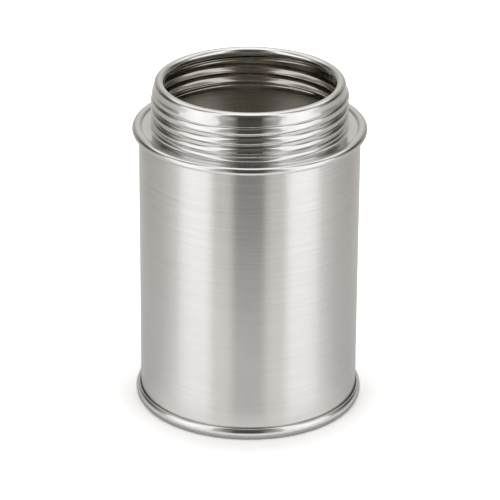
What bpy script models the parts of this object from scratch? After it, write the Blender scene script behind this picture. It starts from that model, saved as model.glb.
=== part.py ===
"""A small round utility can, open, without its cap. Metres, +Z up, the foot on Z = 0.

A welded sheet body is closed below by a countersunk bottom end and above by a drawn top with a
wide screw neck. Both ends are hooked over the body's turned edges with a bead of sealing compound.
The front is -Y and the body's welded lap is at the back, +Y.
"""

import math

import bpy

# Sheet gauges
BODY_SHEET = 0.00025
BOTTOM_SHEET = 0.00025
TOP_SHEET = 0.00030

# Body
BODY_RADIUS = 0.02700
SHOULDER_HEIGHT = 0.07220
LAP_WIDTH = 0.00100
LAP_RAISE = 0.00006
LAP_END_GAP = 0.00030

# Bottom seam and bottom end
BOTTOM_SEAM_HEIGHT = 0.00290
BOTTOM_SEAM_GAP = 0.00015
BOTTOM_HOOK_LENGTH = 0.00110
BOTTOM_BODY_HOOK_LENGTH = 0.00100
COUNTERSINK_DEPTH = 0.00350
CHUCK_CORNER_RADIUS = 0.00060
BEAD_DEPTH = 0.00060
BEAD_WIDTH = 0.00240
OUTER_BEAD_INSET = 0.00420
INNER_BEAD_INSET = 0.01050

# Top seam: the roll round the shoulder
TOP_SEAM_GAP = 0.00025
ROLL_RADIUS = 0.00097
ROLL_COVER_GAP = 0.00015
TOP_HOOK_LENGTH = 0.00045
TOP_BODY_HOOK_LENGTH = 0.00015
HOOK_BEND_RATIO = 0.70

# Shoulder between the roll and the neck
ROLL_LAND_WIDTH = 0.00060
ROLL_FALL_RADIUS = 0.00070
ROLL_FALL_ANGLE = math.radians(55)
VALLEY_RADIUS = 0.00050
SHOULDER_SLOPE = math.radians(15)
COVE_RADIUS = 0.00090

# Neck and rim curl
NECK_SETBACK = 0.00380
NECK_HEIGHT = 0.01150
CURL_RADIUS = 0.00110
CURL_LAND_WIDTH = 0.00030
CURL_END = math.radians(300)

# Rolled thread on the neck, right-handed, one start
THREAD_PITCH = 0.00254
THREAD_DEPTH = 0.00080
THREAD_DROP = 0.00435
THREAD_TURNS = 3.14
THREAD_LEAD_IN = 0.42
THREAD_FADE_TURNS = 0.20
THREAD_EDGE_FADE = 0.00060
UPPER_FLANK_SHARE = 0.42
CREST_FULLNESS = 0.70

# Sealing compound
COMPOUND_GAP = 0.00010
TOP_COMPOUND_RADIUS = 0.00012

# Facets
TURN_FACETS = 40
ROWS_PER_PITCH = 5
COMPOUND_FACETS = 6
MERGE_DISTANCE = 0.000001

# Places that more than one piece shares
BODY_MID = BODY_RADIUS - BODY_SHEET / 2
BOTTOM_HOOK_MID = BODY_RADIUS + BOTTOM_SEAM_GAP + BOTTOM_SHEET / 2
BOTTOM_BODY_HOOK_MID = BOTTOM_HOOK_MID + BOTTOM_SHEET / 2 + BOTTOM_SEAM_GAP + BODY_SHEET / 2
BOTTOM_WALL_MID = BOTTOM_BODY_HOOK_MID + BODY_SHEET / 2 + BOTTOM_SEAM_GAP + BOTTOM_SHEET / 2
CHUCK_MID = BODY_RADIUS - BODY_SHEET - BOTTOM_SEAM_GAP - BOTTOM_SHEET / 2
FOOT_MID = BOTTOM_SHEET / 2
BODY_FOOT = BOTTOM_SHEET + BOTTOM_SEAM_GAP + BODY_SHEET / 2
BOTTOM_CURL = (BOTTOM_WALL_MID - BOTTOM_HOOK_MID) / 2
BOTTOM_BODY_CURL = (BOTTOM_BODY_HOOK_MID - BODY_MID) / 2
BOTTOM_CURL_Z = BOTTOM_SEAM_HEIGHT - BOTTOM_SHEET / 2 - BOTTOM_CURL
BOTTOM_BODY_HOOK_END = BODY_FOOT + BOTTOM_BODY_CURL + BOTTOM_BODY_HOOK_LENGTH

TOP_HOOK_MID = BODY_RADIUS + TOP_SEAM_GAP + TOP_SHEET / 2
TOP_BODY_HOOK_MID = TOP_HOOK_MID + TOP_SHEET / 2 + TOP_SEAM_GAP + BODY_SHEET / 2
ROLL_OUTER = TOP_BODY_HOOK_MID + BODY_SHEET / 2 + TOP_SEAM_GAP + TOP_SHEET
ROLL_R = ROLL_OUTER - ROLL_RADIUS
ROLL_Z = SHOULDER_HEIGHT - ROLL_RADIUS
ROLL_MID = ROLL_RADIUS - TOP_SHEET / 2
TOP_BODY_CURL = (TOP_BODY_HOOK_MID - BODY_MID) / 2
BODY_CREST = SHOULDER_HEIGHT - TOP_SHEET - ROLL_COVER_GAP - BODY_SHEET / 2
BODY_CURL_Z = BODY_CREST - TOP_BODY_CURL
HOOK_BEND = HOOK_BEND_RATIO * TOP_SHEET

RIM_HEIGHT = SHOULDER_HEIGHT + NECK_HEIGHT
NECK_RADIUS = BODY_RADIUS - NECK_SETBACK
NECK_MID = NECK_RADIUS - TOP_SHEET / 2
CURL_MID = CURL_RADIUS - TOP_SHEET / 2
CURL_Z = RIM_HEIGHT - CURL_RADIUS


def clear_scene():
    for item in list(bpy.data.objects):
        bpy.data.objects.remove(item, do_unlink=True)


def make_collection(name):
    collection = bpy.data.collections.new(name)
    bpy.context.scene.collection.children.link(collection)
    return collection


def make_metal(name, colour, roughness, metallic):
    material = bpy.data.materials.new(name)
    material.use_nodes = True
    shader = material.node_tree.nodes["Principled BSDF"]
    shader.inputs["Base Color"].default_value = (*colour, 1.0)
    shader.inputs["Roughness"].default_value = roughness
    shader.inputs["Metallic"].default_value = metallic
    return material


def arc(centre_r, centre_z, radius, start, end, steps):
    """Points (r, z) from angle start to angle end, both ends included."""
    points = []
    for step in range(steps + 1):
        angle = start + (end - start) * step / steps
        points.append((centre_r + radius * math.cos(angle), centre_z + radius * math.sin(angle)))
    return points


def deg(angle):
    return math.radians(angle)


def joined(*runs):
    """The runs end to end, without the points that two runs share."""
    points = []
    for run in runs:
        for point in run:
            if not points or math.dist(points[-1], point) > MERGE_DISTANCE:
                points.append(point)
    return points


def place(name, mesh, material, collection):
    item = bpy.data.objects.new(name, mesh)
    mesh.materials.append(material)
    collection.objects.link(item)
    return item


def add_screw(item, angle, steps):
    screw = item.modifiers.new("Turn", "SCREW")
    screw.axis = "Z"
    screw.angle = angle
    screw.steps = steps
    screw.render_steps = steps
    screw.use_merge_vertices = True
    screw.merge_threshold = MERGE_DISTANCE
    screw.use_smooth_shade = True


def add_wall(item, thickness):
    wall = item.modifiers.new("Sheet", "SOLIDIFY")
    wall.thickness = thickness
    wall.offset = 0.0
    wall.use_even_offset = True


def turned_surface(name, profile, material, collection, angle=2 * math.pi, steps=TURN_FACETS):
    """The open surface that a profile sweeps round Z."""
    mesh = bpy.data.meshes.new(name)
    edges = [(index, index + 1) for index in range(len(profile) - 1)]
    mesh.from_pydata([(r, 0.0, z) for r, z in profile], edges, [])
    item = place(name, mesh, material, collection)
    add_screw(item, angle, steps)
    return item


def apply_modifiers(item):
    """The object's shape as its modifiers leave it, made its own mesh."""
    bpy.context.view_layer.update()
    evaluated = item.evaluated_get(bpy.context.evaluated_depsgraph_get())
    mesh = bpy.data.meshes.new_from_object(evaluated)
    mesh.name = item.name
    item.modifiers.clear()
    item.data = mesh


def body_profile():
    """Mid line of the body sheet, from the hook in the top seam down to the one in the bottom seam."""
    top_r = (BODY_MID + TOP_BODY_HOOK_MID) / 2
    bottom_r = (BODY_MID + BOTTOM_BODY_HOOK_MID) / 2
    bottom_z = BODY_FOOT + BOTTOM_BODY_CURL
    return joined(
        [(TOP_BODY_HOOK_MID, BODY_CURL_Z - TOP_BODY_HOOK_LENGTH)],
        arc(top_r, BODY_CURL_Z, TOP_BODY_CURL, 0.0, math.pi, 4),
        arc(bottom_r, bottom_z, BOTTOM_BODY_CURL, math.pi, 2 * math.pi, 4),
        [(BOTTOM_BODY_HOOK_MID, BOTTOM_BODY_HOOK_END)],
    )


def welded_lap(material, collection):
    """The body's overlapped and welded edge, a little thicker than the sheet, between the two seams."""
    low = BOTTOM_SEAM_HEIGHT + LAP_END_GAP
    high = ROLL_Z - ROLL_RADIUS - LAP_END_GAP
    turn = LAP_WIDTH / BODY_RADIUS
    lap = turned_surface("welded_lap", [(BODY_MID, high), (BODY_MID, low)], material, collection, turn, 2)
    lap.rotation_euler.z = math.pi / 2 - turn / 2
    add_wall(lap, BODY_SHEET + 2 * LAP_RAISE)
    lap.hide_render = True
    lap.display_type = "WIRE"
    return lap


def make_body(material, collection, cutters):
    body = turned_surface("body", body_profile(), material, collection)
    add_wall(body, BODY_SHEET)
    weld = body.modifiers.new("Weld lap", "BOOLEAN")
    weld.operation = "UNION"
    weld.object = welded_lap(material, cutters)
    return body


def panel_bead(radius, height):
    """One round expansion bead pressed down into the bottom panel, from outside in."""
    half = BEAD_WIDTH / 2
    return [(radius + half, height), (radius, height - BEAD_DEPTH), (radius - half, height)]


def bottom_profile():
    """Mid line of the bottom end, from the hook inside its seam round the foot to the centre."""
    panel = COUNTERSINK_DEPTH
    wall_bend = BOTTOM_CURL
    return joined(
        [(BOTTOM_HOOK_MID, BOTTOM_CURL_Z - BOTTOM_HOOK_LENGTH)],
        arc(BOTTOM_BODY_HOOK_MID, BOTTOM_CURL_Z, BOTTOM_CURL, math.pi, 0.0, 4),
        arc(BOTTOM_WALL_MID - wall_bend, FOOT_MID + wall_bend, wall_bend, 0.0, deg(-90), 3),
        arc(CHUCK_MID + wall_bend, FOOT_MID + wall_bend, wall_bend, deg(-90), deg(-180), 3),
        arc(CHUCK_MID - CHUCK_CORNER_RADIUS, panel - CHUCK_CORNER_RADIUS, CHUCK_CORNER_RADIUS, 0.0, deg(90), 2),
        panel_bead(BODY_RADIUS - OUTER_BEAD_INSET, panel),
        panel_bead(BODY_RADIUS - INNER_BEAD_INSET, panel),
        [(0.0, panel)],
    )


def make_bottom_end(material, collection):
    bottom = turned_surface("bottom_end", bottom_profile(), material, collection)
    add_wall(bottom, BOTTOM_SHEET)
    return bottom


def cove_centre():
    """Centre (r, z) of the cove at the foot of the neck, where the sloped shoulder runs into it."""
    valley_r, valley_z = valley_centre()
    turn = deg(-90) - SHOULDER_SLOPE
    low_r = valley_r + VALLEY_RADIUS * math.cos(turn)
    low_z = valley_z + VALLEY_RADIUS * math.sin(turn)
    centre_r = NECK_MID + COVE_RADIUS
    high_r = centre_r + COVE_RADIUS * math.cos(turn)
    high_z = low_z + (low_r - high_r) * math.tan(SHOULDER_SLOPE)
    return centre_r, high_z - COVE_RADIUS * math.sin(turn)


def fall_centre():
    """Centre (r, z) of the bend over which the roll falls towards the shoulder."""
    return ROLL_R - ROLL_LAND_WIDTH, ROLL_Z + ROLL_MID - ROLL_FALL_RADIUS


def valley_centre():
    """Centre (r, z) of the valley between the roll and the shoulder."""
    centre_r, centre_z = fall_centre()
    angle = deg(90) + ROLL_FALL_ANGLE
    reach = ROLL_FALL_RADIUS + VALLEY_RADIUS
    return centre_r + reach * math.cos(angle), centre_z + reach * math.sin(angle)


def top_profile():
    """Mid line of the top, from the hook inside its seam over the roll and up the neck to the curl's end."""
    fall_r, fall_z = fall_centre()
    valley_r, valley_z = valley_centre()
    cove_r, cove_z = cove_centre()
    hook_z = ROLL_Z - ROLL_MID + HOOK_BEND
    slope_turn = deg(-90) - SHOULDER_SLOPE
    wall_top = CURL_Z - CURL_RADIUS
    rows = math.ceil((wall_top - cove_z) / THREAD_PITCH * ROWS_PER_PITCH)
    wall = [(NECK_MID, cove_z + (wall_top - cove_z) * row / rows) for row in range(rows + 1)]
    return joined(
        [(TOP_HOOK_MID, hook_z + TOP_HOOK_LENGTH)],
        arc(TOP_HOOK_MID + HOOK_BEND, hook_z, HOOK_BEND, math.pi, 1.5 * math.pi, 2),
        arc(ROLL_R, ROLL_Z, ROLL_MID, deg(-90), deg(90), 6),
        arc(fall_r, fall_z, ROLL_FALL_RADIUS, deg(90), deg(90) + ROLL_FALL_ANGLE, 2),
        arc(valley_r, valley_z, VALLEY_RADIUS, ROLL_FALL_ANGLE - deg(90), slope_turn, 3),
        arc(cove_r, cove_z, COVE_RADIUS, slope_turn, -math.pi, 3),
        wall,
        arc(NECK_MID - CURL_MID, CURL_Z, CURL_MID, 0.0, deg(90), 3),
        arc(NECK_MID - CURL_MID - CURL_LAND_WIDTH, CURL_Z, CURL_MID, deg(90), CURL_END, 6),
    )


def smooth_step(value):
    value = min(max(value, 0.0), 1.0)
    return value * value * (3.0 - 2.0 * value)


def thread_height(x, y, z):
    """How far the rolled thread lifts the neck's sheet at a point. Its upper flank is the steeper one."""
    turned = math.atan2(x, -y) / (2 * math.pi)
    crest_z = RIM_HEIGHT - THREAD_DROP
    turns_down = (crest_z - z) / THREAD_PITCH + turned
    crest = math.floor(turns_down + UPPER_FLANK_SHARE)
    below_crest = turns_down - crest
    flank = UPPER_FLANK_SHARE if below_crest < 0.0 else 1.0 - UPPER_FLANK_SHARE
    along = crest - turned + THREAD_LEAD_IN
    ridge = (0.5 + 0.5 * math.cos(math.pi * below_crest / flank)) ** CREST_FULLNESS
    start = smooth_step(along / THREAD_FADE_TURNS)
    end = smooth_step((THREAD_TURNS - along) / THREAD_FADE_TURNS)
    low = smooth_step((z - cove_centre()[1]) / THREAD_EDGE_FADE)
    high = smooth_step((CURL_Z - CURL_RADIUS - z) / THREAD_EDGE_FADE)
    return THREAD_DEPTH * ridge * start * end * low * high


def roll_thread(item):
    """Moves the neck's wall out along the thread, as thread rolls press it."""
    for vertex in item.data.vertices:
        radius = math.hypot(vertex.co.x, vertex.co.y)
        on_wall = abs(radius - NECK_MID) < MERGE_DISTANCE
        if on_wall:
            scale = 1.0 + thread_height(*vertex.co) / radius
            vertex.co.x *= scale
            vertex.co.y *= scale


def make_threaded_top(material, collection):
    top = turned_surface("threaded_top", top_profile(), material, collection)
    apply_modifiers(top)
    roll_thread(top)
    add_wall(top, TOP_SHEET)
    return top


def make_compound_ring(name, radius, height, thickness, material, collection):
    bpy.ops.mesh.primitive_torus_add(
        major_radius=radius,
        minor_radius=thickness,
        major_segments=TURN_FACETS,
        minor_segments=COMPOUND_FACETS,
        location=(0.0, 0.0, height),
    )
    ring = bpy.context.object
    ring.name = name
    ring.data.name = name
    ring.data.materials.append(material)
    ring.data.shade_smooth()
    for owner in list(ring.users_collection):
        owner.objects.unlink(ring)
    collection.objects.link(ring)
    return ring


def make_bottom_compound(material, collection):
    """The compound that fills the curl of the bottom end, over the edge of the body hook."""
    thickness = BOTTOM_CURL - BOTTOM_SHEET / 2 - COMPOUND_GAP
    ceiling = BOTTOM_CURL_Z + BOTTOM_CURL - BOTTOM_SHEET / 2
    height = (BOTTOM_BODY_HOOK_END + ceiling) / 2
    name = "bottom_seam_compound"
    return make_compound_ring(name, BOTTOM_BODY_HOOK_MID, height, thickness, material, collection)


def make_top_compound(material, collection):
    """The compound in the bottom of the roll, between the top's hook and the edge of the body hook."""
    radius = TOP_HOOK_MID + TOP_SHEET / 2 + COMPOUND_GAP + TOP_COMPOUND_RADIUS
    reach = ROLL_RADIUS - TOP_SHEET - COMPOUND_GAP - TOP_COMPOUND_RADIUS
    height = ROLL_Z - math.sqrt(reach**2 - (radius - ROLL_R) ** 2)
    name = "top_seam_compound"
    return make_compound_ring(name, radius, height, TOP_COMPOUND_RADIUS, material, collection)


def main():
    clear_scene()
    parts = make_collection("utility_can")
    cutters = make_collection("cutters")
    brushed = make_metal("brushed_steel", (0.60, 0.59, 0.57), 0.34, 1.0)
    polished = make_metal("polished_steel", (0.66, 0.65, 0.63), 0.12, 1.0)
    compound = make_metal("seam_compound", (0.05, 0.05, 0.05), 0.70, 0.0)
    make_body(brushed, parts, cutters)
    make_bottom_end(polished, parts)
    make_threaded_top(polished, parts)
    make_bottom_compound(compound, parts)
    make_top_compound(compound, parts)


main()
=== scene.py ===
"""Dresses the utility can: fine turned sheet for its body, top and bottom, steel finishes and a studio.

Laid out as a Blender add-on and run as a script. Metres, +Z up, the can's axis on Z, its front at -Y.
"""

import math

import bmesh
import bpy
from bpy.props import FloatProperty, FloatVectorProperty, IntProperty, PointerProperty
from mathutils import Matrix, Vector


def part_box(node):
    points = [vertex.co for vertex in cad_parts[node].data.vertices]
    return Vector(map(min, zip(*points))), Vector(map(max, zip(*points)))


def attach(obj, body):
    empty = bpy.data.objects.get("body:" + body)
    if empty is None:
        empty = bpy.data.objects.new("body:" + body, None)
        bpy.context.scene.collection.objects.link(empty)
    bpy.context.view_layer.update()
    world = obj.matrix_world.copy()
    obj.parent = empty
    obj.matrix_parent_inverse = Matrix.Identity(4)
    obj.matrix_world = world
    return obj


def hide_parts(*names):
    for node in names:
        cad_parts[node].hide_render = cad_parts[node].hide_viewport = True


bl_info = {
    "name": "Utility can",
    "version": (1, 0, 0),
    "blender": (4, 5, 0),
    "location": "3D View > Sidebar > Utility Can",
    "description": "Models and finishes a small screw-neck utility can and lights it in a studio",
    "category": "Object",
}

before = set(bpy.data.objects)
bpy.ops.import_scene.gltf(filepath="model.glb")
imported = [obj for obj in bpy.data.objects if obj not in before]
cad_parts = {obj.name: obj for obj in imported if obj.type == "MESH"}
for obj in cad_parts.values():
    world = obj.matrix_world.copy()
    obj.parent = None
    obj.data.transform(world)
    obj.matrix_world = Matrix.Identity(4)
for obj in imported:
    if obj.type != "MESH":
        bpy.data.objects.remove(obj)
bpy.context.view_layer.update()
TOP_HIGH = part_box("threaded_top")[1]

ROOT = "root"
MM = 0.001
MERGE = 1e-7
WALL_REACH = 10 * MERGE
SMOOTH_ANGLE = 75
FULL = (0.0, 1.0)

# Places of the colour sockets on a Mix node
MIX_FIRST = 6
MIX_SECOND = 7
MIX_RESULT = 2

# Hooks in the seams, and the gaps beside them
TOP_SEAM_GAP = 0.25 * MM
ROLL_COVER_GAP = 0.15 * MM
HIGH_BODY_HOOK = 0.15 * MM
LOW_BODY_HOOK = 1.0 * MM
TOP_HOOK = 0.45 * MM
TOP_HOOK_BEND = 0.7
BOTTOM_HOOK = 1.5 * MM

# Welded lap
LAP_EDGE = 0.08
LAP_SEAM_SPACE = 0.3 * MM
LAP_REACH = 0.01 * MM

# Fall from the shoulder roll, valley, shoulder, cove and curl
FALL_ANGLE = 55
FALL_RADIUS = 0.70 * MM
FALL_INSET = 0.6 * MM
VALLEY_RADIUS = 0.50 * MM
SHOULDER_RISE = 1.0
COVE_RADIUS = 1.30 * MM
CURL_END = 300

# Thread. In turns: it starts to the right of the front by its lead and runs down to the left
THREAD_LEAD = 0.42
THREAD_TURNS = 3.14
THREAD_FADE = 0.2
THREAD_FOOT = 0.9 * MM
THREAD_END_FADE = 0.6 * MM
GROOVE_FLAT = 0.05
UPPER_FULLNESS = 0.7
LOWER_FULLNESS = 0.85
ROWS_PER_PITCH = 38

# Collar swell between the rim and the thread. Its slant, in pitches, lifts its lower edge on the right
COLLAR_SLANT = 0.2
COLLAR_START = 0.3 * MM
COLLAR_RISE = 1.7 * MM
COLLAR_LOW = 0.3
COLLAR_FALL = 0.4 * MM
COLLAR_END = 0.9 * MM
COLLAR_FADE = 0.8 * MM

# Foot bead and bottom panel
BEAD_FACE = 1.9 * MM
BEAD_HALF_TURN = 40
INNER_HEEL = 0.4 * MM
PANEL_CORNER = 0.6 * MM
EXPANSION_INSETS = (4.2 * MM, 10.5 * MM)
EXPANSION_HALF_WIDTH = 1.2 * MM
EXPANSION_DEPTH = 0.6 * MM
EXPANSION_STEPS = 12

# Grain of each steel finish: its stretch, lines per metre, share in the colour and relief
BODY_GRAIN = {"anisotropy": 0.92, "fine": 2600, "tone": 0.13, "depth": 7e-6}
BODY_INSIDE_GRAIN = {"anisotropy": 0.98, "fine": 1800, "tone": 0.28, "depth": 1e-5}
NECK_GRAIN = {"anisotropy": 0.6, "fine": 4000, "tone": 0.04, "depth": 4e-7}
NECK_INSIDE_GRAIN = {"anisotropy": 0.5, "fine": 3000, "tone": 0.12, "depth": 1e-6}
SEAM_GRAIN = {"anisotropy": 0.5, "fine": 4000, "tone": 0.04, "depth": 1e-6}
PANEL_INSIDE_GRAIN = {"anisotropy": 0.5, "fine": 3000, "tone": 0.08, "depth": 2e-6}
GRAIN_ROTATION = 0.25

# Patterns of the grain and the patches: what they take unless a finish sets it, and their noise
GRAIN_INPUTS = {"Fine": 3000.0, "Round": 60.0}
GRAIN_DETAIL = 3.0
GRAIN_ROUGHNESS = 0.65
PATCH_INPUTS = {"Size": 110.0}
PATCH_DETAIL = 2.0
PATCH_DISTORTION = 0.6
PATCH_REACH = (0.35, 0.70)

# Shares of a finish's roughness: what it has everywhere, and what its grain and its patches add
LEAST_SHARE = 0.82
STREAK_SHARE = 0.3
PATCH_SHARE = 0.08

# Satin of the shoulder: how far over the roll it reaches in full, and how it fades above that
SATIN_REACH = 0.3 * MM
SATIN_FADE = 0.8 * MM

# Seam compound
COMPOUND_PATCH_SIZE = 2500.0
COMPOUND_ROUGHNESS = (0.55, 0.75)

# Studio light levels by the angle from the front in degrees, the same on the left and the right
LOW_LIGHT = [
    (0, 0.05), (13, 0.08), (19, 0.44), (23, 0.58), (36, 0.64), (41, 1.00), (46, 1.24), (60, 1.34),
    (71, 1.28), (77, 1.10), (81, 0.86), (90, 0.74), (106, 0.58), (129, 0.50), (150, 0.54), (180, 0.70),
]
MIDDLE_LIGHT = [
    (0, 0.08), (12, 0.09), (22, 0.32), (33, 0.55), (38, 1.10), (62, 1.30), (86, 1.05), (91, 0.50),
    (102, 0.24), (116, 0.08), (130, 0.12), (142, 0.30), (156, 0.46), (168, 0.58), (180, 0.72),
]
HIGH_LIGHT = [
    (0, 0.12), (26, 0.15), (36, 0.75), (42, 1.25), (58, 1.25), (68, 0.70), (78, 0.35), (96, 0.35),
    (108, 0.80), (132, 1.05), (180, 1.25),
]
UNDER_LIGHT = 0.85
OVERHEAD_LIGHT = 1.30

# Heights in degrees over which each light takes over from the one below it
LOW_START = (-58.0, -34.0)
MIDDLE_START = (-10.0, 10.0)
HIGH_START = (28.0, 44.0)
OVERHEAD_START = (68.0, 80.0)

# Green and blue that a dark gap between the lights loses
GAP_GREEN_LOSS = 0.07
GAP_BLUE_LOSS = 0.17

# Floor as the steel mirrors it: painted light, brighter in front than at the sides and behind, and painted
# shade beside the foot bead
FLOOR_SIZE = 4.0
FRONT_TO_SIDE = (-0.95, 0.05)
FRONT_GAIN = 1.05
SIDE_GAIN = 0.60
BEAD_PAINTED_SHADE = (28.5 * MM, 32 * MM)
BEAD_PAINTED_SHADE_LEVELS = (0.55, 1.0)

# White floor to the camera: distances from the axis, and its gain near the can and far from it. The lower
# gain near the can is painted shade round the foot
WHITE_REACH = (28 * MM, 45 * MM)
WHITE_PAINTED_SHADE_GAIN = 1.05
WHITE_FAR_GAIN = 1.35

# Floor that clears in the steel's mirror image: over distances, and over shares of the table's radius
NEAR_CLEARING = (34 * MM, 46 * MM)
NEAR_CLEAR = 0.40
FAR_CLEARING = (0.43, 0.93)
FAR_CLEAR = 0.60

SENSOR_WIDTH = 36.0
CLIP_START = 0.01


def length(name, description, default):
    return FloatProperty(name=name, description=description, default=default, unit="LENGTH", precision=5)


def share(name, description, default):
    return FloatProperty(
        name=name, description=description, default=default, subtype="FACTOR", min=0.0, max=1.0
    )


def angle(name, description, degrees):
    return FloatProperty(name=name, description=description, default=math.radians(degrees), subtype="ANGLE")


def colour(name, description, default):
    return FloatVectorProperty(
        name=name, description=description, default=default, subtype="COLOR", size=3, min=0.0, max=1.0
    )


class CanSizes(bpy.types.PropertyGroup):
    """The sizes of the can's sheet parts."""

    steps: IntProperty(name="Turning steps", description="Facets round each part", default=216, min=32)
    body_sheet: length("Body sheet", "Thickness of the body and of the bottom", 0.25 * MM)
    top_sheet: length("Top sheet", "Thickness of the top", 0.30 * MM)
    body_radius: length("Body radius", "Outer radius of the body", 27.0 * MM)
    lap_width: length("Lap width", "Width of the welded lap at the back", 1.0 * MM)
    lap_raise: length("Lap raise", "How far the lap stands proud of the body", 0.06 * MM)
    seam_height: length("Bottom seam height", "Height of the bottom seam", 2.9 * MM)
    seam_gap: length("Bottom seam gap", "Clearance between the sheets in the bottom seam", 0.15 * MM)
    panel_height: length("Panel height", "Height of the bottom's panel above the foot", 3.5 * MM)
    roll_radius: length("Roll radius", "Half the thickness of the shoulder roll", 0.97 * MM)
    roll_outer: length("Roll outer radius", "Outer radius of the shoulder roll", TOP_HIGH.x)
    shoulder_height: length("Shoulder height", "Height of the top of the shoulder roll", 72.2 * MM)
    rim_height: length("Rim height", "Height of the rim's top", TOP_HIGH.z)
    neck_radius: length("Neck radius", "Outer radius of the neck between crests and of the curl", 23.2 * MM)
    curl_radius: length("Curl radius", "Outer radius of the rim's curl in section", 1.10 * MM)
    curl_land: length("Curl land", "Width of the flat on the rim's top", 0.30 * MM)
    thread_pitch: length("Thread pitch", "Height of one turn of the thread", 2.54 * MM)
    thread_depth: length("Thread depth", "How far the crest stands out of the neck", 0.8 * MM)
    thread_drop: length("Thread drop", "From the rim's top down to the first crest in front", 4.35 * MM)
    upper_flank: share("Upper flank", "Share of the pitch from a crest up to the groove above it", 0.42)
    collar_swell: length("Collar swell", "Height of the swell between the rim and the thread", 0.50 * MM)


class CanFinish(bpy.types.PropertyGroup):
    """The colours and the polish of the can's materials."""

    body_steel: colour("Body steel", "Colour of the brushed body", (0.705, 0.693, 0.680))
    bright_steel: colour("Bright steel", "Colour of the neck and the seams", (0.74, 0.733, 0.723))
    # The steel's colour darkened inside the neck and the bottom: painted shade, a shaded copy of the bright
    # steel
    shaded_inner_steel: colour("Inner steel", "Colour inside the neck and the bottom", (0.47, 0.445, 0.405))
    body_inner_steel: colour("Inner body steel", "Warm colour inside the body", (0.78, 0.725, 0.64))
    compound: colour("Seam compound", "Colour of the compound in the seams", (0.05, 0.05, 0.05))
    body_roughness: share("Body roughness", "Roughness of the brushed body", 0.19)
    bright_roughness: share("Bright roughness", "Roughness of the neck and the seams", 0.05)
    shoulder_satin: share("Shoulder satin", "Roughness that the shoulder has over the neck", 0.08)
    neck_inner_roughness: share("Inner neck roughness", "Roughness of the neck's inside", 0.09)
    inner_roughness: share("Inner roughness", "Roughness inside the body and the bottom", 0.50)


class CanStudio(bpy.types.PropertyGroup):
    """The camera and the studio."""

    elevation: angle("Camera elevation", "Height of the camera above the horizon, as an angle", 24.60)
    roll: angle("Camera roll", "Tilt of the picture", 0.38)
    distance: length("Camera distance", "From the camera to its target", 0.723)
    target: FloatVectorProperty(
        name="Camera target",
        description="What the camera looks at",
        default=(0.00024, 0.0, 0.03837),
        subtype="TRANSLATION",
        unit="LENGTH",
    )
    lens: FloatProperty(name="Lens", description="Focal length on a 36 mm sensor", default=210.2)
    table_radius: length("Table radius", "Reach of the floor that the steel mirrors", 0.195)
    floor_colour: share("Floor colour", "Colour of the floor, as light meets it", 0.80)
    # Above white: painted light on the floor as the steel mirrors it
    floor_mirrored: FloatProperty(
        name="Mirrored floor", description="Colour of the floor in the steel", default=1.45
    )
    floor_white: FloatProperty(
        name="Floor white", description="Colour of the floor to the camera", default=1.50
    )


def deselect():
    bpy.ops.object.select_all(action="DESELECT")
    bpy.context.view_layer.objects.active = None


def arc(centre_r, centre_z, radius, start, end, steps):
    """Points (r, z) on an arc from start to end in degrees, both ends included."""
    points = []
    for step in range(steps + 1):
        turn = math.radians(start + (end - start) * step / steps)
        points.append((centre_r + radius * math.cos(turn), centre_z + radius * math.sin(turn)))
    return points


def joined(*runs):
    """The runs end to end, without the points that two runs share."""
    points = []
    for run in runs:
        for point in run:
            if not points or math.dist(points[-1], point) > MERGE:
                points.append(point)
    return points


def smooth_step(value):
    value = min(max(value, 0.0), 1.0)
    return value * value * (3.0 - 2.0 * value)


def drawn_line(name, profile):
    """A new object that holds the profile (r, z) as a chain of edges in the XZ plane, in edit mode."""
    deselect()
    first = profile[0]
    bpy.ops.mesh.primitive_plane_add(size=MM, location=(first[0], 0.0, first[1]))
    piece = bpy.context.object
    piece.name = name
    piece.data.name = name
    bpy.ops.object.transform_apply(location=True, rotation=True, scale=True)
    bpy.ops.object.mode_set(mode="EDIT")
    bpy.ops.mesh.select_all(action="SELECT")
    bpy.ops.mesh.merge(type="CENTER")
    for here, there in zip(profile, profile[1:]):
        step = (there[0] - here[0], 0.0, there[1] - here[1])
        bpy.ops.mesh.extrude_region_move(TRANSFORM_OT_translate={"value": step})
    return piece


def turned_surface(name, profile, steps, wall_height):
    """The open surface that the profile sweeps round Z, its wall at wall_height facing outwards."""
    piece = drawn_line(name, profile)
    bpy.ops.mesh.select_all(action="SELECT")
    bpy.ops.mesh.spin(steps=steps, angle=2 * math.pi, center=(0, 0, 0), axis=(0, 0, 1))
    bpy.ops.mesh.select_all(action="SELECT")
    bpy.ops.mesh.remove_doubles(threshold=MERGE)
    bpy.ops.mesh.normals_make_consistent(inside=False)
    if wall_faces_inwards(piece, wall_height):
        bpy.ops.mesh.flip_normals()
    bpy.ops.object.mode_set(mode="OBJECT")
    return piece


def wall_faces_inwards(piece, wall_height):
    """Whether the widest faces that cross this height look towards the axis."""
    mesh = bmesh.from_edit_mesh(piece.data)
    crossing = []
    for face in mesh.faces:
        heights = [vert.co.z for vert in face.verts]
        if min(heights) <= wall_height <= max(heights):
            crossing.append(face)
    widest = max(crossing, key=lambda face: face.calc_center_median().xy.length)
    return widest.normal.xy.dot(widest.calc_center_median().xy) < 0


def give_thickness(piece, sheet, outside, inside):
    """Makes the surface a sheet with one material on its outer side and one on its inner side."""
    piece.data.materials.append(outside)
    piece.data.materials.append(inside)
    wall = piece.modifiers.new("Sheet", "SOLIDIFY")
    wall.thickness = sheet
    wall.offset = 0.0
    wall.use_even_offset = True
    wall.material_offset = 1
    bpy.ops.object.modifier_apply(modifier=wall.name)
    bpy.ops.object.shade_smooth_by_angle(angle=math.radians(SMOOTH_ANGLE))


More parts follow.
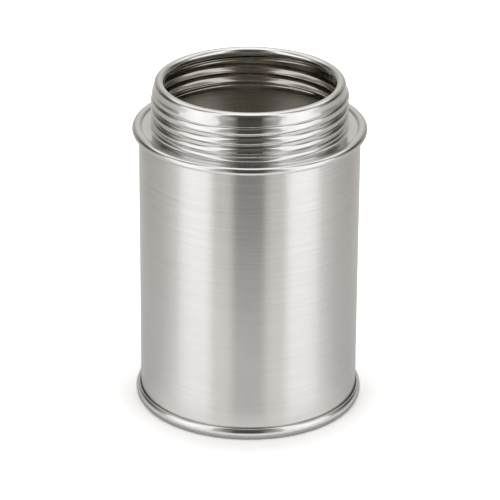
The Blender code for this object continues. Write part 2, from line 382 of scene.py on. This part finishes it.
def body_profile(sizes):
    """Mid line of the body sheet, from its hook in the top seam down to its hook in the bottom seam."""
    sheet = sizes.body_sheet
    wall = sizes.body_radius - sheet / 2
    # Outside the wall the bottom seam has the bottom's hook, this hook and the bottom's own wall
    low_hook = sizes.body_radius + 2 * sizes.seam_gap + 1.5 * sheet
    high_hook = sizes.roll_outer - TOP_SEAM_GAP - sizes.top_sheet - sheet / 2
    low_curl = (low_hook - wall) / 2
    high_curl = (high_hook - wall) / 2
    low_z = sheet + sizes.seam_gap + sheet / 2 + low_curl
    high_z = sizes.shoulder_height - sizes.top_sheet - ROLL_COVER_GAP - sheet / 2 - high_curl
    return joined(
        [(high_hook, high_z - HIGH_BODY_HOOK)],
        arc(wall + high_curl, high_z, high_curl, 0, 180, 12),
        arc(wall + low_curl, low_z, low_curl, 180, 360, 12),
        [(low_hook, low_z + LOW_BODY_HOOK)],
    )


def raise_lap(piece, sizes):
    """Gathers the outer side's columns at the back to the edges of the welded lap and lifts them."""
    spacing = 2 * math.pi / sizes.steps
    half = sizes.lap_width / 2 / sizes.body_radius
    edge = LAP_EDGE * half
    places = {-2: -half - edge, -1: -half, 0: 0.0, 1: half, 2: half + edge}
    low = sizes.seam_height + LAP_SEAM_SPACE
    high = sizes.shoulder_height - 2 * sizes.roll_radius - LAP_SEAM_SPACE
    for vertex in piece.data.vertices:
        radius = vertex.co.xy.length
        turn = math.atan2(vertex.co.y, vertex.co.x) - math.pi / 2
        column = round(turn / spacing)
        if column in places and abs(radius - sizes.body_radius) < LAP_REACH:
            lift = sizes.lap_raise if abs(column) < 2 and low < vertex.co.z < high else 0.0
            turn = places[column] + math.pi / 2
            vertex.co.x = (radius + lift) * math.cos(turn)
            vertex.co.y = (radius + lift) * math.sin(turn)


def top_profile(sizes):
    """Mid line of the top, from its hook in the seam over the roll and up the neck to the curl's end."""
    sheet = sizes.top_sheet
    roll = sizes.roll_radius - sheet / 2
    roll_r = sizes.roll_outer - sizes.roll_radius
    roll_z = sizes.shoulder_height - sizes.roll_radius
    hook_r = sizes.body_radius + TOP_SEAM_GAP + sheet / 2
    hook_bend = TOP_HOOK_BEND * sheet
    hook_z = roll_z - roll + hook_bend
    fall_r = roll_r - FALL_INSET
    fall_z = roll_z + roll - FALL_RADIUS
    fall_turn = math.radians(90 + FALL_ANGLE)
    valley_r = fall_r + (FALL_RADIUS + VALLEY_RADIUS) * math.cos(fall_turn)
    valley_z = fall_z + (FALL_RADIUS + VALLEY_RADIUS) * math.sin(fall_turn)
    cove_r, cove_z = cove_place(sizes, valley_r, valley_z)
    neck = sizes.neck_radius - sheet / 2
    curl = sizes.curl_radius - sheet / 2
    curl_z = sizes.rim_height - sizes.curl_radius
    wall_top = curl_z - sizes.curl_radius
    rows = math.ceil((wall_top - cove_z) / sizes.thread_pitch * ROWS_PER_PITCH)
    wall = [(neck, cove_z + (wall_top - cove_z) * row / rows) for row in range(rows + 1)]
    return joined(
        [(hook_r, hook_z + TOP_HOOK)],
        arc(hook_r + hook_bend, hook_z, hook_bend, 180, 270, 4),
        arc(roll_r, roll_z, roll, -90, 90, 20),
        arc(fall_r, fall_z, FALL_RADIUS, 90, 90 + FALL_ANGLE, 8),
        arc(valley_r, valley_z, VALLEY_RADIUS, FALL_ANGLE - 90, -90 - SHOULDER_RISE, 8),
        arc(cove_r, cove_z, COVE_RADIUS, -90 - SHOULDER_RISE, -180, 12),
        wall,
        arc(neck - curl, curl_z, curl, 0, 90, 10),
        arc(neck - curl - sizes.curl_land, curl_z, curl, 90, CURL_END, 22),
    )


def cove_place(sizes, valley_r, valley_z):
    """Centre (r, z) of the cove where the shoulder meets the neck."""
    slope = math.radians(SHOULDER_RISE)
    turn = math.radians(-90 - SHOULDER_RISE)
    low_r = valley_r + VALLEY_RADIUS * math.cos(turn)
    low_z = valley_z + VALLEY_RADIUS * math.sin(turn)
    centre_r = sizes.neck_radius - sizes.top_sheet / 2 + COVE_RADIUS
    high_r = centre_r + COVE_RADIUS * math.cos(turn)
    high_z = low_z + (low_r - high_r) * math.tan(slope)
    return centre_r, high_z - COVE_RADIUS * math.sin(turn)


def thread_height(sizes, place):
    """How far the rolled thread lifts the neck's sheet at a place."""
    turned = math.atan2(place.x, -place.y) / (2 * math.pi)
    crest_z = sizes.rim_height - sizes.thread_drop
    turns_down = (crest_z - place.z) / sizes.thread_pitch + turned
    crest = math.floor(turns_down + sizes.upper_flank)
    along = crest - turned + THREAD_LEAD
    ridge = ridge_form(turns_down - crest, sizes.upper_flank)
    start = smooth_step(along / THREAD_FADE)
    end = smooth_step((THREAD_TURNS - along) / THREAD_FADE)
    low = smooth_step((place.z - sizes.shoulder_height - THREAD_FOOT) / THREAD_END_FADE)
    high = smooth_step((sizes.rim_height - 2 * sizes.curl_radius - place.z) / THREAD_END_FADE)
    return sizes.thread_depth * ridge * start * end * low * high + collar_height(sizes, place.z, turned)


def ridge_form(below_crest, upper_flank):
    """Height of a ridge, 0 in its grooves and 1 on its crest, by the turns below the crest."""
    above = below_crest < 0
    flank = upper_flank if above else 1 - upper_flank
    climb = max(1 - abs(below_crest) / flank - GROOVE_FLAT, 0.0) / (1 - GROOVE_FLAT)
    return math.sin(math.pi / 2 * climb) ** (UPPER_FULLNESS if above else LOWER_FULLNESS)


def collar_height(sizes, height, turned):
    """The low swell between the rim and the first groove of the thread."""
    under_rim = sizes.rim_height - sizes.curl_radius - height
    slant = COLLAR_SLANT * math.sin(2 * math.pi * turned)
    groove = sizes.rim_height - sizes.thread_drop + (sizes.upper_flank + slant) * sizes.thread_pitch
    rise = smooth_step((under_rim - COLLAR_START) / COLLAR_RISE)
    fall = COLLAR_LOW + (1 - COLLAR_LOW) * smooth_step((height - groove) / COLLAR_FALL)
    fade = smooth_step((height - groove + COLLAR_END) / COLLAR_FADE)
    return sizes.collar_swell * rise * fall * fade


def roll_thread(piece, sizes):
    """Moves the neck's wall out along the thread, as thread rolls press it."""
    neck = sizes.neck_radius - sizes.top_sheet / 2
    for vertex in piece.data.vertices:
        radius = vertex.co.xy.length
        if abs(radius - neck) < WALL_REACH:
            scale = 1.0 + thread_height(sizes, vertex.co) / radius
            vertex.co.x *= scale
            vertex.co.y *= scale


def bottom_profile(sizes):
    """Mid line of the bottom end, from its hook in the seam round the foot to the panel's centre."""
    sheet = sizes.body_sheet
    gap = sizes.seam_gap
    hook_r = sizes.body_radius + gap + sheet / 2
    wall_r = sizes.body_radius + 3 * gap + 2.5 * sheet
    chuck_r = sizes.body_radius - sheet - gap - sheet / 2
    half_turn = math.radians(BEAD_HALF_TURN)
    across, along = math.cos(half_turn), math.sin(half_turn)
    edge_r = wall_r - BEAD_FACE * (1 - across)
    curl = (edge_r - hook_r) / (1 + across)
    edge_z = sizes.seam_height - sheet / 2 - curl * (1 - along)
    face_z = edge_z - BEAD_FACE * along
    low_z = face_z - BEAD_FACE * along
    heel = (low_z - sheet / 2) / (1 - along)
    panel = sizes.panel_height
    return joined(
        [(hook_r, edge_z - BOTTOM_HOOK)],
        arc(hook_r + curl, edge_z - curl * along, curl, 180, BEAD_HALF_TURN, 12),
        arc(wall_r - BEAD_FACE, face_z, BEAD_FACE, BEAD_HALF_TURN, -BEAD_HALF_TURN, 12),
        arc(edge_r - heel * across, low_z + heel * along, heel, -BEAD_HALF_TURN, -90, 6),
        arc(chuck_r + INNER_HEEL, sheet / 2 + INNER_HEEL, INNER_HEEL, -90, -180, 8),
        arc(chuck_r - PANEL_CORNER, panel - PANEL_CORNER, PANEL_CORNER, 0, 90, 6),
        *[expansion_bead(sizes.body_radius - inset, panel) for inset in EXPANSION_INSETS],
        [(0.0, panel)],
    )


def expansion_bead(radius, height):
    """One round expansion bead pressed down into the panel, from outside in."""
    points = []
    for step in range(EXPANSION_STEPS + 1):
        across = step / EXPANSION_STEPS
        drop = EXPANSION_DEPTH * (0.5 - 0.5 * math.cos(2 * math.pi * across))
        points.append((radius + EXPANSION_HALF_WIDTH - 2 * EXPANSION_HALF_WIDTH * across, height - drop))
    return points


def stands_for(piece, node):
    """Ties the piece to the can in the place of its solid."""
    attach(piece, ROOT)
    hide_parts(node)


def object_place(tree):
    """The place on the piece, in metres."""
    return tree.nodes.new("ShaderNodeTexCoord").outputs["Object"]


def apart(tree, place):
    """The place's X, Y and Z outputs."""
    node = tree.nodes.new("ShaderNodeSeparateXYZ")
    tree.links.new(place, node.inputs[0])
    return node.outputs


def together(tree, **axes):
    """A place put together from sockets named X, Y and Z. Gives its output."""
    node = tree.nodes.new("ShaderNodeCombineXYZ")
    for axis, socket in axes.items():
        tree.links.new(socket, node.inputs[axis])
    return node.outputs[0]


def distance(tree, place):
    """How far the place is from the origin. Gives its output."""
    node = tree.nodes.new("ShaderNodeVectorMath")
    node.operation = "LENGTH"
    tree.links.new(place, node.inputs[0])
    return node.outputs["Value"]


def math_node(tree, operation, *values):
    """A Math node whose inputs are numbers or sockets. Gives its output."""
    node = tree.nodes.new("ShaderNodeMath")
    node.operation = operation
    for index, value in enumerate(values):
        if isinstance(value, (int, float)):
            node.inputs[index].default_value = value
        else:
            tree.links.new(value, node.inputs[index])
    return node.outputs[0]


def ranged(tree, value, reach, levels):
    """A smooth Map Range node from the reach (low, high) to the levels (low, high). Gives its output."""
    node = tree.nodes.new("ShaderNodeMapRange")
    node.interpolation_type = "SMOOTHSTEP"
    tree.links.new(value, node.inputs["Value"])
    node.inputs["From Min"].default_value = reach[0]
    node.inputs["From Max"].default_value = reach[1]
    node.inputs["To Min"].default_value = levels[0]
    node.inputs["To Max"].default_value = levels[1]
    return node.outputs["Result"]


def mixed(tree, factor, first, second):
    """A colour mix of two sockets, colours or grey levels. Gives its output."""
    node = tree.nodes.new("ShaderNodeMix")
    node.data_type = "RGBA"
    tree.links.new(factor, node.inputs["Factor"])
    for socket, value in ((node.inputs[MIX_FIRST], first), (node.inputs[MIX_SECOND], second)):
        if isinstance(value, (int, float)):
            value = (value, value, value)
        if isinstance(value, tuple):
            socket.default_value = (*value, 1.0)
        else:
            tree.links.new(value, socket)
    return node.outputs[MIX_RESULT]


def group_tree(name, inputs, outputs):
    """A shader node group with float inputs, by name and default, and float outputs."""
    tree = bpy.data.node_groups.new(name, "ShaderNodeTree")
    for label, default in inputs.items():
        socket = tree.interface.new_socket(name=label, in_out="INPUT", socket_type="NodeSocketFloat")
        socket.default_value = default
    for label in outputs:
        tree.interface.new_socket(name=label, in_out="OUTPUT", socket_type="NodeSocketFloat")
    return tree, tree.nodes.new("NodeGroupInput"), tree.nodes.new("NodeGroupOutput")


def turned_grain_group():
    """Fine lines that run round the axis, on walls and on flats, as brushing and rolling leave them."""
    if "turned_grain" in bpy.data.node_groups:
        return bpy.data.node_groups["turned_grain"]
    tree, given, result = group_tree("turned_grain", GRAIN_INPUTS, ["Grain"])
    fine = given.outputs["Fine"]
    around = given.outputs["Round"]
    place = apart(tree, object_place(tree))
    radius = distance(tree, together(tree, X=place["X"], Y=place["Y"]))
    spread = together(
        tree,
        X=math_node(tree, "MULTIPLY", place["X"], around),
        Y=math_node(tree, "MULTIPLY", place["Y"], around),
        Z=math_node(tree, "MULTIPLY", place["Z"], fine),
    )
    noise = tree.nodes.new("ShaderNodeTexNoise")
    noise.noise_dimensions = "4D"
    noise.inputs["Scale"].default_value = 1.0
    noise.inputs["Detail"].default_value = GRAIN_DETAIL
    noise.inputs["Roughness"].default_value = GRAIN_ROUGHNESS
    tree.links.new(spread, noise.inputs["Vector"])
    tree.links.new(math_node(tree, "MULTIPLY", radius, fine), noise.inputs["W"])
    tree.links.new(noise.outputs["Fac"], result.inputs["Grain"])
    return tree


def handling_group():
    """Soft uneven patches where the sheet was wiped and handled."""
    if "handling" in bpy.data.node_groups:
        return bpy.data.node_groups["handling"]
    tree, given, result = group_tree("handling", PATCH_INPUTS, ["Patches"])
    noise = tree.nodes.new("ShaderNodeTexNoise")
    noise.inputs["Detail"].default_value = PATCH_DETAIL
    noise.inputs["Distortion"].default_value = PATCH_DISTORTION
    tree.links.new(object_place(tree), noise.inputs["Vector"])
    tree.links.new(given.outputs["Size"], noise.inputs["Scale"])
    tree.links.new(ranged(tree, noise.outputs["Fac"], PATCH_REACH, FULL), result.inputs["Patches"])
    return tree


def placed_group(tree, group):
    """The group as a node of a material."""
    node = tree.nodes.new("ShaderNodeGroup")
    node.node_tree = group
    return node


def new_material(name):
    """A new node material, with its tree and its Principled shader."""
    material = bpy.data.materials.new(name)
    material.use_nodes = True
    return material, material.node_tree, material.node_tree.nodes["Principled BSDF"]


def steel_material(name, tint, roughness, anisotropy, fine, tone, depth):
    """Bare steel sheet with turned grain: tone is the grain's share in its colour, depth its relief."""
    material, tree, shader = new_material(name)
    shader.inputs["Metallic"].default_value = 1.0
    shader.inputs["Anisotropic"].default_value = anisotropy
    shader.inputs["Anisotropic Rotation"].default_value = GRAIN_ROTATION
    grain = placed_group(tree, turned_grain_group())
    grain.inputs["Fine"].default_value = fine
    lines = grain.outputs["Grain"]
    patches = placed_group(tree, handling_group()).outputs["Patches"]
    dark = tuple(channel * (1.0 - tone) for channel in tint)
    light = tuple(min(channel * (1.0 + tone), 1.0) for channel in tint)
    tree.links.new(mixed(tree, lines, dark, light), shader.inputs["Base Color"])
    uneven = math_node(tree, "MULTIPLY", patches, PATCH_SHARE * roughness)
    streaky = math_node(tree, "MULTIPLY_ADD", lines, STREAK_SHARE * roughness, LEAST_SHARE * roughness)
    tree.links.new(math_node(tree, "ADD", uneven, streaky), shader.inputs["Roughness"])
    relief = tree.nodes.new("ShaderNodeBump")
    relief.inputs["Strength"].default_value = 1.0
    relief.inputs["Distance"].default_value = depth
    tree.links.new(lines, relief.inputs["Height"])
    tree.links.new(relief.outputs["Normal"], shader.inputs["Normal"])
    return material


def soften_below(material, height, extra):
    """Adds to the roughness below a height, where the sheet keeps its satin finish."""
    tree = material.node_tree
    roughness = tree.nodes["Principled BSDF"].inputs["Roughness"]
    polish = roughness.links[0].from_socket
    reach = (height, height + SATIN_FADE)
    satin = ranged(tree, apart(tree, object_place(tree))["Z"], reach, (extra, 0.0))
    tree.links.new(math_node(tree, "ADD", polish, satin), roughness)


class CAN_OT_body(bpy.types.Operator):
    """Models the body's brushed wall and its welded lap"""

    bl_idname = "utility_can.body"
    bl_label = "Body"

    def execute(self, context):
        sizes = context.scene.can_sizes
        finish = context.scene.can_finish
        piece = turned_surface("body_sheet", body_profile(sizes), sizes.steps, sizes.shoulder_height / 2)
        outside = steel_material("brushed_body", finish.body_steel, finish.body_roughness, **BODY_GRAIN)
        inside = steel_material(
            "body_inside", finish.body_inner_steel, finish.inner_roughness, **BODY_INSIDE_GRAIN
        )
        give_thickness(piece, sizes.body_sheet, outside, inside)
        raise_lap(piece, sizes)
        stands_for(piece, "body")
        return {"FINISHED"}


class CAN_OT_top(bpy.types.Operator):
    """Models the shoulder, the threaded neck and the curled rim"""

    bl_idname = "utility_can.top"
    bl_label = "Threaded top"

    def execute(self, context):
        sizes = context.scene.can_sizes
        finish = context.scene.can_finish
        height = sizes.shoulder_height - sizes.roll_radius
        piece = turned_surface("shoulder_and_neck", top_profile(sizes), sizes.steps, height)
        roll_thread(piece, sizes)
        outside = steel_material("bright_neck", finish.bright_steel, finish.bright_roughness, **NECK_GRAIN)
        soften_below(outside, sizes.shoulder_height + SATIN_REACH, finish.shoulder_satin)
        # The neck's inside takes the darkened steel colour: painted shade
        inside = steel_material(
            "neck_inside", finish.shaded_inner_steel, finish.neck_inner_roughness, **NECK_INSIDE_GRAIN
        )
        give_thickness(piece, sizes.top_sheet, outside, inside)
        stands_for(piece, "threaded_top")
        return {"FINISHED"}


class CAN_OT_bottom(bpy.types.Operator):
    """Models the bottom end and its seam"""

    bl_idname = "utility_can.bottom"
    bl_label = "Bottom end"

    def execute(self, context):
        sizes = context.scene.can_sizes
        finish = context.scene.can_finish
        piece = turned_surface("seamed_bottom", bottom_profile(sizes), sizes.steps, sizes.seam_height / 2)
        outside = steel_material("bright_seam", finish.bright_steel, finish.bright_roughness, **SEAM_GRAIN)
        # The bottom panel's inside takes the darkened steel colour: painted shade
        inside = steel_material(
            "panel_inside", finish.shaded_inner_steel, finish.inner_roughness, **PANEL_INSIDE_GRAIN
        )
        give_thickness(piece, sizes.body_sheet, outside, inside)
        stands_for(piece, "bottom_end")
        return {"FINISHED"}


class CAN_OT_compound(bpy.types.Operator):
    """Finishes the sealing compound in both seams"""

    bl_idname = "utility_can.compound"
    bl_label = "Seam compound"

    def execute(self, context):
        material, tree, shader = new_material("matt_compound")
        shader.inputs["Base Color"].default_value = (*context.scene.can_finish.compound, 1.0)
        patches = placed_group(tree, handling_group())
        patches.inputs["Size"].default_value = COMPOUND_PATCH_SIZE
        uneven = ranged(tree, patches.outputs["Patches"], FULL, COMPOUND_ROUGHNESS)
        tree.links.new(uneven, shader.inputs["Roughness"])
        for node in ("bottom_seam_compound", "top_seam_compound"):
            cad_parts[node].material_slots[0].material = material
        return {"FINISHED"}


def set_camera(studio):
    """Places the camera where the photograph was taken from."""
    camera = bpy.data.objects.new("camera", bpy.data.cameras.new("camera"))
    bpy.context.scene.collection.objects.link(camera)
    back = Vector((0.0, -math.cos(studio.elevation), math.sin(studio.elevation)))
    up = Vector((0.0, math.sin(studio.elevation), math.cos(studio.elevation)))
    side = Vector((1.0, 0.0, 0.0))
    right = math.cos(studio.roll) * side + math.sin(studio.roll) * up
    above = math.cos(studio.roll) * up - math.sin(studio.roll) * side
    turn = Matrix((right, above, back)).transposed().to_4x4()
    camera.matrix_world = Matrix.Translation(Vector(studio.target) + studio.distance * back) @ turn
    camera.data.lens = studio.lens
    camera.data.sensor_width = SENSOR_WIDTH
    camera.data.clip_start = CLIP_START
    bpy.context.scene.camera = camera


def level_ramp(tree, value, stops):
    """A ramp of levels by angle, 0 to 180 degrees, its dark gaps slightly warm. Gives its output."""
    node = tree.nodes.new("ShaderNodeValToRGB")
    tree.links.new(value, node.inputs[0])
    elements = node.color_ramp.elements
    elements.remove(elements[1])
    for index, (degrees, level) in enumerate(stops):
        element = elements[0] if index == 0 else elements.new(degrees / 180)
        element.position = degrees / 180
        gap = max(1.0 - level, 0.0)
        green = level * (1.0 - GAP_GREEN_LOSS * gap)
        blue = level * (1.0 - GAP_BLUE_LOSS * gap)
        element.color = (level, green, blue, 1.0)
    return node.outputs["Color"]


def set_world():
    """Soft boxes on both sides and overhead, with darker gaps, alike to the left and the right."""
    world = bpy.data.worlds.new("studio")
    bpy.context.scene.world = world
    world.use_nodes = True
    tree = world.node_tree
    way = apart(tree, tree.nodes.new("ShaderNodeTexCoord").outputs["Generated"])
    front = math_node(tree, "MULTIPLY", way["Y"], -1.0)
    azimuth = math_node(tree, "ABSOLUTE", math_node(tree, "ARCTAN2", way["X"], front))
    azimuth = math_node(tree, "DIVIDE", azimuth, math.pi)
    height = math_node(tree, "MULTIPLY", math_node(tree, "ARCSINE", way["Z"]), 180 / math.pi)
    pattern = UNDER_LIGHT
    for start, light in (
        (LOW_START, level_ramp(tree, azimuth, LOW_LIGHT)),
        (MIDDLE_START, level_ramp(tree, azimuth, MIDDLE_LIGHT)),
        (HIGH_START, level_ramp(tree, azimuth, HIGH_LIGHT)),
        (OVERHEAD_START, OVERHEAD_LIGHT),
    ):
        pattern = mixed(tree, ranged(tree, height, start, FULL), pattern, light)
    seen = tree.nodes.new("ShaderNodeLightPath").outputs["Is Camera Ray"]
    tree.links.new(mixed(tree, seen, pattern, 1.0), tree.nodes["Background"].inputs["Color"])


def floor_material(studio):
    """A pale floor. The steel mirrors it near the can only, with painted light in front and painted shade
    beside the foot bead, and the camera sees it white, with painted shade near the can.
    """
    material, tree, shader = new_material("pale_floor")
    shader.inputs["Roughness"].default_value = 1.0
    shader.inputs["Specular IOR Level"].default_value = 0.0
    rays = tree.nodes.new("ShaderNodeLightPath").outputs
    place = object_place(tree)
    away = distance(tree, place)
    behind = math_node(tree, "DIVIDE", apart(tree, place)["Y"], away)
    # Floor colour in the steel: painted light, brighter in front and dimmer at the sides and behind, and
    # painted shade next to the foot bead
    mirrored_levels = (FRONT_GAIN * studio.floor_mirrored, SIDE_GAIN * studio.floor_mirrored)
    white_levels = (WHITE_PAINTED_SHADE_GAIN * studio.floor_white, WHITE_FAR_GAIN * studio.floor_white)
    around = ranged(tree, behind, FRONT_TO_SIDE, mirrored_levels)
    mirrored = math_node(tree, "MULTIPLY", ranged(tree, away, BEAD_PAINTED_SHADE, BEAD_PAINTED_SHADE_LEVELS), around)
    shade = mixed(tree, rays["Is Glossy Ray"], studio.floor_colour, mirrored)
    # To the camera the floor is darker near the can: painted shade round the foot
    shade = mixed(tree, rays["Is Camera Ray"], shade, ranged(tree, away, WHITE_REACH, white_levels))
    tree.links.new(shade, shader.inputs["Base Color"])
    near = ranged(tree, away, NEAR_CLEARING, (0.0, NEAR_CLEAR))
    far_reach = [part * studio.table_radius for part in FAR_CLEARING]
    far = ranged(tree, away, far_reach, (0.0, FAR_CLEAR))
    clear = math_node(tree, "MULTIPLY", math_node(tree, "ADD", near, far), rays["Is Glossy Ray"])
    tree.links.new(math_node(tree, "SUBTRACT", 1.0, clear), shader.inputs["Alpha"])
    return material


class CAN_OT_stage(bpy.types.Operator):
    """Sets up the floor, the studio and the camera"""

    bl_idname = "utility_can.stage"
    bl_label = "Stage"

    def execute(self, context):
        studio = context.scene.can_studio
        deselect()
        bpy.ops.mesh.primitive_plane_add(size=FLOOR_SIZE, location=(0.0, 0.0, 0.0))
        floor = context.object
        floor.name = "floor"
        floor.data.materials.append(floor_material(studio))
        set_world()
        set_camera(studio)
        context.scene.view_settings.view_transform = "Standard"
        return {"FINISHED"}


OPERATORS = (CAN_OT_body, CAN_OT_top, CAN_OT_bottom, CAN_OT_compound, CAN_OT_stage)


class CAN_PT_panel(bpy.types.Panel):
    """Lists the can's pieces and the stage"""

    bl_idname = "CAN_PT_panel"
    bl_label = "Utility Can"
    bl_space_type = "VIEW_3D"
    bl_region_type = "UI"
    bl_category = "Utility Can"

    def draw(self, context):
        for operator in OPERATORS:
            self.layout.operator(operator.bl_idname)


CLASSES = (CanSizes, CanFinish, CanStudio, *OPERATORS, CAN_PT_panel)


def register():
    for item in CLASSES:
        bpy.utils.register_class(item)
    bpy.types.Scene.can_sizes = PointerProperty(type=CanSizes)
    bpy.types.Scene.can_finish = PointerProperty(type=CanFinish)
    bpy.types.Scene.can_studio = PointerProperty(type=CanStudio)


def unregister():
    del bpy.types.Scene.can_studio
    del bpy.types.Scene.can_finish
    del bpy.types.Scene.can_sizes
    for item in reversed(CLASSES):
        bpy.utils.unregister_class(item)


def main():
    register()
    bpy.ops.utility_can.body()
    bpy.ops.utility_can.top()
    bpy.ops.utility_can.bottom()
    bpy.ops.utility_can.compound()
    bpy.ops.utility_can.stage()


if __name__ == "__main__":
    main()
